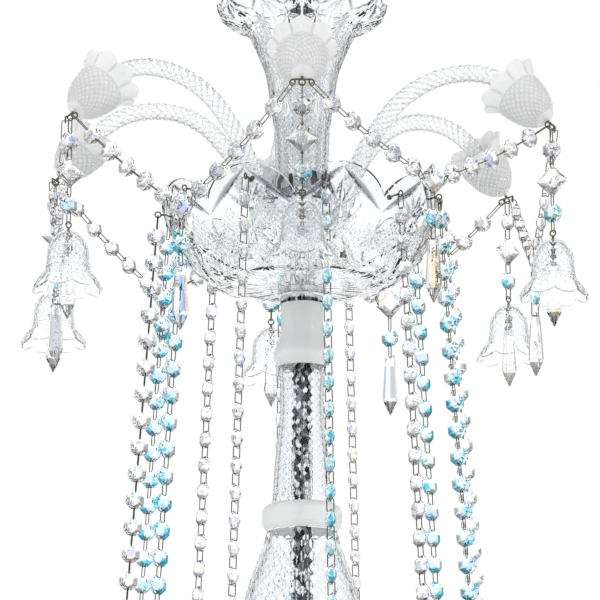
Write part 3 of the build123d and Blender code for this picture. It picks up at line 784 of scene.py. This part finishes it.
piece("trumpet_glass", ROOT, [vessel(
    TRUMPET, 4.0, 360, 230, trumpet_cuts, scallops(86, 7, TRUMPET_LOBES), 12, 14.0, 26, shade=trumpet_shade,
)], GLASS, ["trumpet_vase"], CUT)
piece("bowl_glass", ROOT, [vessel(
    BOWL, 5.0, 720, 92, bowl_cuts, scallops(140, 34, BOWL_LOBES, BOWL_TURN), 26, 42.0, 14, shade=bowl_shade,
)], GLASS, ["cut_bowl"], CUT)
piece("neck_sleeve", ROOT, [vessel(SLEEVE, 2.5, 96, 44, inner_rows=20, lip=0.0)], FROST,
      ["frosted_neck"], 30)
piece("neck_glass", ROOT, [vessel(
    NECK, 3.5, 144, 148, neck_cuts, inner_rows=20, lip=0.0, shade=diamond_shade(neck_cuts, NECK_DEPTH),
)], THIN, ["neck_vase"], CUT)
piece("stem_ring", ROOT, [vessel(RING, 3.0, 112, 30, inner_rows=16, lip=0.0)], FROST,
      ["frosted_ring"], 30)
piece("vase_glass", ROOT, [vessel(
    VASE, 4.0, 208, 134, vase_cuts, inner_rows=24, lip=0.0, shade=diamond_shade(vase_cuts, VASE_DEPTH),
)], THIN, ["vase_body"], CUT)

def finial_part():
    """Eight-sided drop with lozenge facets, under the vase."""
    levels = [(8.5, -812), (13, -817), (17.5, -827), (15.8, -834), (9, -845), (1.6, -856)]
    points, faces = [], []
    for row, (radius, z) in enumerate(levels):
        for k in range(8):
            a = TAU * (k + 0.5 * (row % 2)) / 8
            points.append((radius * math.cos(a), radius * math.sin(a), z))
    for row in range(len(levels) - 1):
        for k in range(8):
            n = (k + 1) % 8
            if row % 2:
                faces.append([row * 8 + k, row * 8 + 8 + k, row * 8 + 8 + n])
                faces.append([row * 8 + k, row * 8 + n, row * 8 + 8 + n])
            else:
                faces.append([row * 8 + k, row * 8 + n, row * 8 + 8 + k])
                faces.append([row * 8 + n, row * 8 + 8 + k, row * 8 + 8 + n])
    faces.append(list(range(8)))
    faces.append([8 * (len(levels) - 1) + k for k in range(8)])
    return sparkling(solid(points, faces))

piece("finial_crystal", ROOT, [finial_part()], CLEAR, ["finial"], FACETED)

# ---- arms and tulips ----
def filleted(corners, radii):
    """Points along a line whose corners are rounded, about a millimetre apart."""
    corners = [np.array(c, float) for c in corners]
    line = [corners[0]]
    for a, b, c, radius in zip(corners, corners[1:], corners[2:], radii):
        back, ahead = unit(a - b), unit(c - b)
        half = math.acos(float(np.dot(back, ahead))) / 2
        centre = b + unit(back + ahead) * radius / math.sin(half)
        first, last = (b + way * radius / math.tan(half) - centre for way in (back, ahead))
        arc = math.pi - 2 * half
        for t in np.linspace(0, 1, 40):
            line.append(centre + (math.sin((1 - t) * arc) * first + math.sin(t * arc) * last) / math.sin(arc))
    line = np.array(line + [corners[-1]])
    run = np.concatenate([[0], np.cumsum(np.linalg.norm(np.diff(line, axis=0), axis=1))])
    even = np.linspace(0, run[-1], int(run[-1] / 1.1))
    return np.stack([np.interp(even, run, line[:, k]) for k in range(2)], 1), even

STRANDS, LEAD = 6, 50.0
ROPE_R, GROOVE = 8.8, 2.3

def rope_arm(cols=60):
    """Glass rod twisted like a rope, drawn outward along X, with painted shade in its grooves, darkest along
    the top.
    """
    corners = [(ARM_SEAT_R, ARM_SEAT_Z), (72, -234), (122, -173), (206.9, -173), (238, -204.1)]
    line, run = filleted(corners, (150, 100, 80))
    way = np.gradient(line, axis=0)
    way /= np.linalg.norm(way, axis=1)[:, None]
    phi = np.arange(cols) * TAU / cols

    def groove(angle, length):
        return 1 - np.abs(np.sin(STRANDS * (angle + TAU * length / LEAD) / 2))

    radius = ROPE_R - GROOVE * groove(phi[None, :], run[:, None]) ** 1.6
    up = np.stack([-way[:, 1], way[:, 0]], 1)
    x = line[:, :1] + up[:, :1] * radius * np.sin(phi)
    z = line[:, 1:] + up[:, 1:] * radius * np.sin(phi)
    y = radius * np.cos(phi)
    points = np.stack([x, y, z], -1).reshape(-1, 3)
    triangles = grid_faces(len(line), cols, wrap_rows=False)
    middle_phi = phi[None, :] + math.pi / cols
    # painted shade: the grooves darken the colour, most along the top of the arm
    deep = groove(middle_phi, (run[:-1, None] + run[1:, None]) / 2) ** 3
    upper = np.clip((np.sin(middle_phi) - 0.3) / 0.5, 0, 1)
    values = np.tile((deep * (0.1 + 0.9 * upper)).reshape(-1), 2)
    last = (len(line) - 1) * cols
    centres = np.array([(line[0][0], 0, line[0][1]), (line[-1][0], 0, line[-1][1])])
    count = len(points)
    k = np.arange(cols)
    n = (k + 1) % cols
    start = np.stack([np.full(cols, count), n, k], 1)
    end = np.stack([np.full(cols, count + 1), last + k, last + n], 1)
    points = np.vstack([points, centres])
    triangles = np.vstack([triangles, start, end])
    return points, facing_out(points, triangles), np.concatenate([values, np.zeros(2 * cols)])

TULIP = (
    (34, 60), (29, 54), (25.3, 47), (25.6, 42), (24.5, 33), (21.5, 21), (16, 10.5), (9, 3.5), (1.6, 0),
)
arm = rope_arm()
tulip = vessel(
    TULIP, 3.0, 160, 64, tulip_cuts, scallops(33, 4.5, PETALS), 12, 16.0, 18, shade=tulip_shade,
)
arms, tulips = [], []
for azimuth in ARM_AZIMUTHS:
    arms.append(placed(arm, turned(azimuth)))
    tip = outward(azimuth) * TULIP_R + UP * TULIP_Z
    axis = unit(UP - outward(azimuth))
    tulips.append(placed(tulip, frame_at(tip, axis, outward(azimuth + 90))))
piece("rope_glass", ROOT, arms, TWISTED, ["rope_arms"], 25)
piece("tulip_glass", ROOT, tulips, PETAL, ["tulip_cups"], 14)

# ---- hub ----
def lathe(profile, cols):
    """Solid turned about Z from (radius, height) points; it closes on the axis at both ends."""
    theta = np.arange(cols) * TAU / cols
    rows = [np.stack([r * np.sin(theta), -r * np.cos(theta), 0 * theta + z], 1) for r, z in profile]
    points = np.vstack([*rows, [(0, 0, profile[0][1]), (0, 0, profile[-1][1])]])
    triangles = grid_faces(len(profile), cols, wrap_rows=False)
    k = np.arange(cols)
    n, last, top = (k + 1) % cols, (len(profile) - 1) * cols, len(profile) * cols
    caps = [np.stack([0 * k + top, n, k], 1), np.stack([0 * k + top + 1, last + k, last + n], 1)]
    triangles = np.vstack([triangles, *caps])
    return points, facing_out(points, triangles), np.zeros(len(triangles))

HUB_PLATE = (
    (10, -283), (24, -283.5), (40, -286), (43, -288), (43, -291), (40, -293), (24, -294.5), (14, -296),
)
HUB_BOSS = (
    (12.5, -300), (11.5, -318), (12.5, -334), (17, -340), (17.5, -346), (12.5, -352), (12.5, -364),
    (16, -369),
)
SOCKET_COLLAR, SOCKET_R = ((4.5, 13.2), (6.8, 12.6), (8.2, 10.4), (8.6, 8.6)), 11.5

def hub_parts():
    """Chrome hub: a dished plate, a turned boss down to the bowl's floor, and a ball socket for each arm."""
    bends = np.linspace(0.85, 2.95, 14)
    ball = [*SOCKET_COLLAR, *((SOCKET_R * math.sin(a), SOCKET_R * math.cos(a)) for a in bends)]
    sockets = []
    for azimuth in ARM_AZIMUTHS:
        seat = outward(azimuth) * ARM_SEAT_R + UP * ARM_SEAT_Z
        lean_out = unit(outward(azimuth) * 0.42 + UP)
        sockets.append(placed(lathe(ball, 32), frame_at(seat, lean_out, outward(azimuth + 90))))
    return [lathe(HUB_PLATE + HUB_BOSS, 48), *sockets]

piece("hub_chrome", ROOT, hub_parts(), CHROME, ["arm_hub"], 35)

# ---- pendants, bells and garlands ----
BELL = (
    (34.5, -59), (31, -52), (26, -45), (21.6, -37), (20.8, -33), (19, -15), (13.5, -6), (9, -2), (2, 0),
)
BELL_WASHER = ((4, -2.6), (4.2, -3.2), (3.8, -4.2))
bell_glass = vessel(
    BELL, 2.4, 144, 78, bell_cuts, scallops(33, 6, PETALS), 8, 11.0, 22, shade=bell_shade,
)
bell_wire = [rod(EYE_RISE - RING_R, RING_R - CLAPPER_DROP, 1.2)]
bell_wire += [placed(ring_part(), (np.eye(3), UP * z)) for z in (EYE_RISE, -CLAPPER_DROP)]
bell_wire.append(vessel(BELL_WASHER, 2.6, 24, 5, inner_rows=4, lip=0.0))

def crystals_piece(name, body, parts, blue=False, nodes=()):
    material, slot = (BLUE, "blue_crystal") if blue else (CLEAR, "clear_crystal")
    piece(name, body, parts, material, nodes, FACETED)

def wire_piece(name, body, parts):
    piece(name, body, parts, WIRE, (), WIRED)

octagon_bead, lozenge_bead = (octagon, OCTAGON_REACH), (lozenge, LOZENGE_REACH)
for i in range(len(ARM_AZIMUTHS)):
    n = i + 1
    facing = pendant_facing(i)
    points = [hook_point(i) - UP * (SEAT + drop) for drop in PENDANT_DROPS]
    crystals, links = string(points, [None, octagon_bead, lozenge_bead, octagon_bead, None], facing, (3,))
    body = f"pendant_{n}"
    crystals_piece(f"hanger_{n}_clear", body, crystals[:2], nodes=[f"hanger_{n}"])
    crystals_piece(f"hanger_{n}_blue", body, crystals[2:], blue=True)
    wire_piece(f"hanger_{n}_links", body, links)

    body, place = f"bell_body_{n}", frame_at(bell_crown(i), UP, facing)
    piece(f"bell_{n}_glass", body, [placed(bell_glass, place)], PRESSED, [f"bell_{n}"], 14)
    wire_piece(f"bell_{n}_wire", body, [placed(p, place) for p in bell_wire])

    top = bell_crown(i) - UP * (CLAPPER_DROP + SEAT)
    length = CLAPPER_HOLE - CLAPPER_DROP - SEAT
    body, name = f"clapper_{n}", f"bell_icicle_{n}"
    hung = placed(sparkling(icicle), frame_at(top - UP * length, UP, facing))
    link = placed(wire_link(length), frame_at(top, UP, facing))
    crystals_piece(f"{name}_crystal", body, [hung], nodes=[name])
    wire_piece(f"{name}_link", body, [link])

    half = [octagon_bead] * GARLAND_BEADS
    line, across = garland_points(i), garland_facing(i)
    crystals, links = string(line, [None, *half, lozenge_bead, *half, None], across)
    body, name = f"garland_body_{n}", f"garland_{n}"
    crystals_piece(f"{name}_beads", body, crystals, nodes=[name])
    wire_piece(f"{name}_links", body, links)

    top = line[GARLAND_BEADS + 1] - UP * LOZENGE_REACH
    points = [top - UP * drop for drop in (0, DROP_BLUE - LOZENGE_REACH, DROP_ICICLE - LOZENGE_REACH)]
    crystals, links = string(points, [None, octagon_bead, (icicle, 0)], across, (1,))
    body, name = f"drop_{n}", f"garland_drop_{n}"
    crystals_piece(f"{name}_blue", body, crystals[:1], True, [name])
    crystals_piece(f"{name}_icicle", body, crystals[1:])
    wire_piece(f"{name}_links", body, links)

# ---- long chains ----
lean = math.radians(CHAIN_LEAN)
for i, azimuth in enumerate(CHAIN_AZIMUTHS):
    down = outward(azimuth) * math.sin(lean) - UP * math.cos(lean)
    steps = [0] + [FIRST_BEAD + CHAIN_PITCH * k for k in range(CHAIN_BEADS)]
    steps.append(steps[-1] + CHAIN_PITCH - OCTAGON_REACH)
    line = [chain_start(azimuth) + down * step for step in steps]
    facing = outward(azimuth + 90)
    blue = azimuth in BLUE_CHAINS
    beads = [None, *[octagon_bead] * CHAIN_BEADS, None]
    crystals, links = string(line, beads, facing, range(len(line)) if blue else ())
    links.append(placed(ring_part(), frame_at(line[-1] + down * SEAT, -down, facing)))
    body, name = f"chain_{i + 1}", f"bead_chain_{i + 1}"
    crystals_piece(f"{name}_beads", body, crystals, blue, [name])
    wire_piece(f"{name}_links", body, links)

# ---- carried-over CAD nodes ----
for names, material in (
    (("hanging_eye", "stem_nuts", "trumpet_cup", "bowl_collar", "vase_cap"), CHROME),
    (("stem_tube",), PAINTED_REFLECTION_CHROME),
    (("rim_hooks", "tulip_hooks"), WIRE),
):
    for name in names:
        for material_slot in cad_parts[name].material_slots:
            material_slot.material = material

# ---- floor, studio and camera ----
FLOOR_Z, FLOOR_SIZE = -1.75, 14.0
STRIPS_ROUND = 5.0

def floor():
    mesh = bpy.data.meshes.new("floor")
    half = FLOOR_SIZE / 2
    corners = ((-half, -half), (half, -half), (half, half), (-half, half))
    mesh.from_pydata([(x, y, FLOOR_Z) for x, y in corners], [], [(0, 1, 2, 3)])
    material, nodes, links, shader = new_material("floor_paint", (0.9, 0.9, 0.9), Roughness=0.8)
    ramp(nodes, links, noise(nodes, links, 2), shader.inputs["Base Color"],
         [(0.3, (0.88, 0.88, 0.88)), (0.7, (0.92, 0.92, 0.92))])
    mesh.materials.append(material)
    obj = bpy.data.objects.new("floor", mesh)
    bpy.context.scene.collection.objects.link(obj)

def studio():
    """World of four parts, chosen by the kind of ray.

    The camera sees white, light through glass a bright room, soft light an even one, and reflections a room
    with dark screens.
    """
    world = bpy.data.worlds.new("studio")
    bpy.context.scene.world = world
    world.use_nodes = True
    nodes, links = world.node_tree.nodes, world.node_tree.links
    nodes.clear()
    place = nodes.new("ShaderNodeTexCoord")
    split = nodes.new("ShaderNodeSeparateXYZ")
    links.new(place.outputs["Generated"], split.inputs["Vector"])

    def share(value):
        """A value from -1 to 1 as one from 0 to 1."""
        node = nodes.new("ShaderNodeMapRange")
        node.inputs["From Min"].default_value = -1
        links.new(value, node.inputs["Value"])
        return node.outputs["Result"]

    angle = calculate(nodes, links, "ARCTAN2", split.outputs["Y"], split.outputs["X"])
    wave = calculate(nodes, links, "MULTIPLY", angle, STRIPS_ROUND)
    height, strips = share(split.outputs["Z"]), share(calculate(nodes, links, "SINE", wave))

    def room(levels, columns, strength):
        """Background that changes with height and round the horizon: both are (place, grey) stops."""
        mix = nodes.new("ShaderNodeMix")
        mix.data_type, mix.blend_type = "RGBA", "MULTIPLY"
        mix.inputs["Factor"].default_value = 1.0
        for source, stops, socket in ((height, levels, 6), (strips, columns, 7)):
            greys = [(place, (grey,) * 3) for place, grey in stops]
            ramp(nodes, links, source, mix.inputs[socket], greys)
        background = nodes.new("ShaderNodeBackground")
        background.inputs["Strength"].default_value = strength
        links.new(mix.outputs[2], background.inputs["Color"])
        return background

    bright = room(
        [(0.0, 0.7), (0.25, 0.93), (0.6, 1.0), (0.7, 0.9), (0.78, 0.3), (0.86, 0.35), (0.92, 1.0)],
        [(0.0, 0.4), (0.06, 0.5), (0.2, 0.95), (1.0, 1.0)], 1.06,
    )
    fill = room([(0.0, 0.62), (0.5, 0.92), (1.0, 1.1)], [(0.0, 0.9), (1.0, 1.1)], 1.4)
    screens = room(
        [(0.0, 0.3), (0.3, 0.5), (0.42, 1.0), (0.55, 1.0), (0.6, 0.06), (0.7, 0.06), (0.76, 1.3)],
        [(0.0, 0.05), (0.3, 0.08), (0.42, 1.0)], 1.1,
    )
    seen = nodes.new("ShaderNodeBackground")
    seen.inputs["Color"].default_value = (1, 1, 1, 1)
    ray = nodes.new("ShaderNodeLightPath").outputs
    mirrored = calculate(nodes, links, "SUBTRACT", ray["Is Glossy Ray"], ray["Is Transmission Ray"])
    mirrored.node.use_clamp = True
    light = bright.outputs[0]
    for chosen, other in ((ray["Is Diffuse Ray"], fill), (mirrored, screens), (ray["Is Camera Ray"], seen)):
        mix = nodes.new("ShaderNodeMixShader")
        links.new(chosen, mix.inputs[0])
        links.new(light, mix.inputs[1])
        links.new(other.outputs[0], mix.inputs[2])
        light = mix.outputs[0]
    output = nodes.new("ShaderNodeOutputWorld")
    links.new(light, output.inputs["Surface"])

def camera():
    """Long lens a little below the bowl, looking up."""
    data = bpy.data.cameras.new("camera")
    data.lens, data.sensor_width = 214.0, 36.0
    obj = bpy.data.objects.new("camera", data)
    bpy.context.scene.collection.objects.link(obj)
    tilt, distance, target = math.radians(13.2), 3.57, Vector((-0.002, 0, -0.3858))
    obj.location = target + distance * Vector((0, -math.cos(tilt), -math.sin(tilt)))
    obj.rotation_euler = (target - obj.location).to_track_quat("-Z", "Y").to_euler()
    bpy.context.scene.camera = obj

floor()
studio()
camera()
bpy.context.scene.view_settings.view_transform = "Standard"
